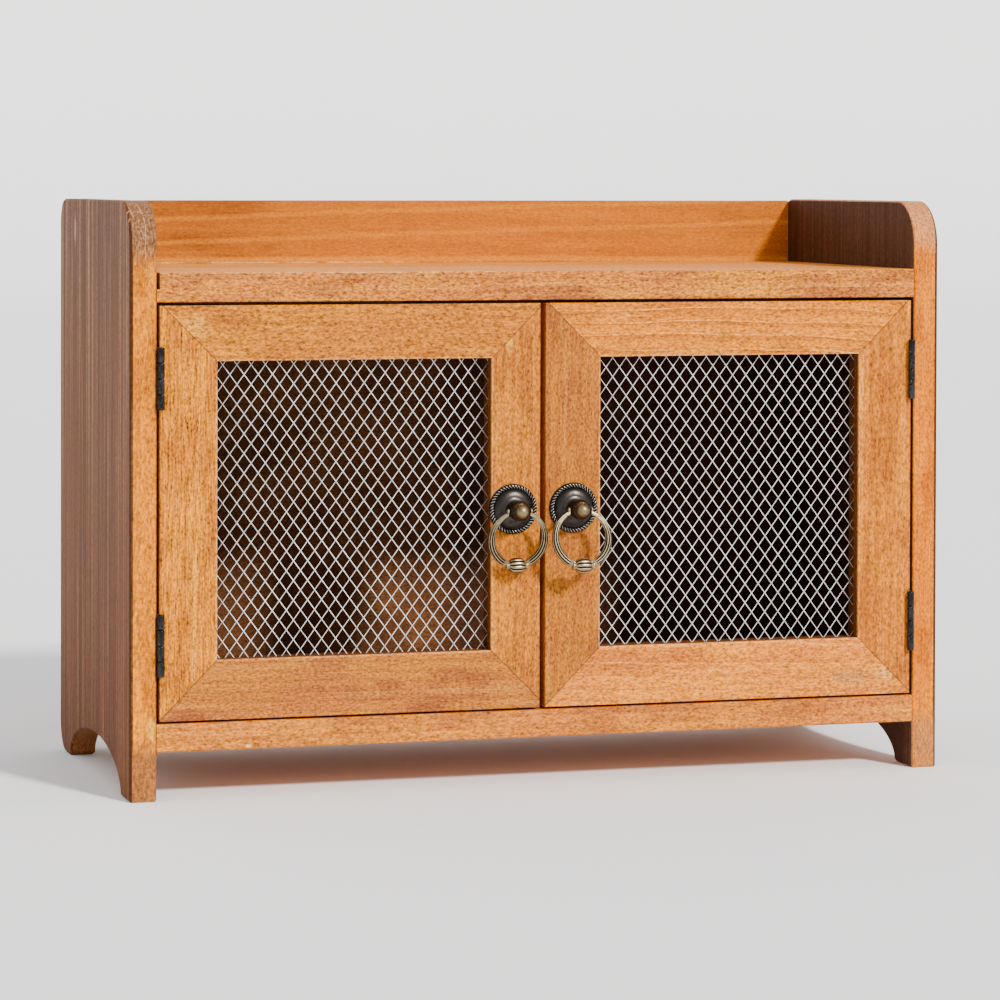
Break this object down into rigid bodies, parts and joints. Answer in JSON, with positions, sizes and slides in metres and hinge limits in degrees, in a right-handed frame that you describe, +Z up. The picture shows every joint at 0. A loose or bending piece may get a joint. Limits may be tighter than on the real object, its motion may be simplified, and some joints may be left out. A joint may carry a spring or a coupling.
{
  "type": "desktop cabinet with doors",
  "caption": "Low wooden desktop cabinet with a tray top, shaped side boards standing on feet, and hinged framed mesh doors with ring pulls.",
  "frame": {"origin": "on the floor under the middle of the bounding box of cabinet and pulls", "axes": "+X to the cabinet's right as seen from the front, +Y to its back, +Z up"},
  "size_m": [0.514, 0.2536, 0.355],
  "materials": {
    "stained_softwood": "orange-brown stain, satin",
    "stained_plywood": "orange-brown stain, matte",
    "beech_dowel": "bare",
    "black_steel": "black, satin",
    "bright_steel": "zinc plated",
    "galvanised_mesh": "galvanised",
    "antique_bronze": "antiqued, dark in the hollows",
    "brown_plastic": "moulded",
    "ferrite": "sintered"
  },
  "bodies": {
    "carcass": {"left_side_board": "stained_softwood", "right_side_board": "stained_softwood", "top_board": "stained_softwood", "bottom_board": "stained_softwood", "gallery_board": "stained_softwood", "back_panel": "stained_plywood", "carcass_dowels": "beech_dowel", "gallery_dowels": "beech_dowel", "back_panel_brads": "bright_steel", "frame_hinge_screws": "black_steel", "hinge_pins": "black_steel", "left_frame_leaves": "black_steel", "right_frame_leaves": "black_steel", "left_catch_housing": "brown_plastic", "right_catch_housing": "brown_plastic", "catch_magnets": "ferrite", "catch_screws": "bright_steel"},
    "left_door": {"left_hinge_stile": "stained_softwood", "left_meeting_stile": "stained_softwood", "left_top_rail": "stained_softwood", "left_bottom_rail": "stained_softwood", "left_mesh": "galvanised_mesh", "left_mesh_strips": "stained_softwood", "left_strip_pins": "bright_steel", "left_mitre_nails": "bright_steel", "left_door_leaves": "black_steel", "left_door_hinge_screws": "black_steel", "left_strike_plate": "bright_steel", "left_strike_screw": "bright_steel", "left_pull_plate": "antique_bronze", "left_pull_post": "antique_bronze", "left_pull_screw": "bright_steel"},
    "right_door": {"right_hinge_stile": "stained_softwood", "right_meeting_stile": "stained_softwood", "right_top_rail": "stained_softwood", "right_bottom_rail": "stained_softwood", "right_mesh": "galvanised_mesh", "right_mesh_strips": "stained_softwood", "right_strip_pins": "bright_steel", "right_mitre_nails": "bright_steel", "right_door_leaves": "black_steel", "right_door_hinge_screws": "black_steel", "right_strike_plate": "bright_steel", "right_strike_screw": "bright_steel", "right_pull_plate": "antique_bronze", "right_pull_post": "antique_bronze", "right_pull_screw": "bright_steel"},
    "left_ring": {"left_pull_ring": "antique_bronze"},
    "right_ring": {"right_pull_ring": "antique_bronze"}
  },
  "joints": [
    {"name": "left_door_hinge", "type": "hinge", "parent": "carcass", "child": "left_door", "pos_m": [-0.2387, -0.10355, 0.17], "axis": [0, 0, -1], "range_deg": [0, 180]},
    {"name": "right_door_hinge", "type": "hinge", "parent": "carcass", "child": "right_door", "pos_m": [0.2387, -0.10355, 0.17], "axis": [0, 0, 1], "range_deg": [0, 180]},
    {"name": "left_ring_swing", "type": "hinge", "parent": "left_door", "child": "left_ring", "pos_m": [-0.02135, -0.11615, 0.1683], "axis": [-1, 0, 0], "range_deg": [-6.5, 206]},
    {"name": "right_ring_swing", "type": "hinge", "parent": "right_door", "child": "right_ring", "pos_m": [0.01715, -0.11615, 0.1683], "axis": [-1, 0, 0], "range_deg": [-26.5, 186]}
  ]
}
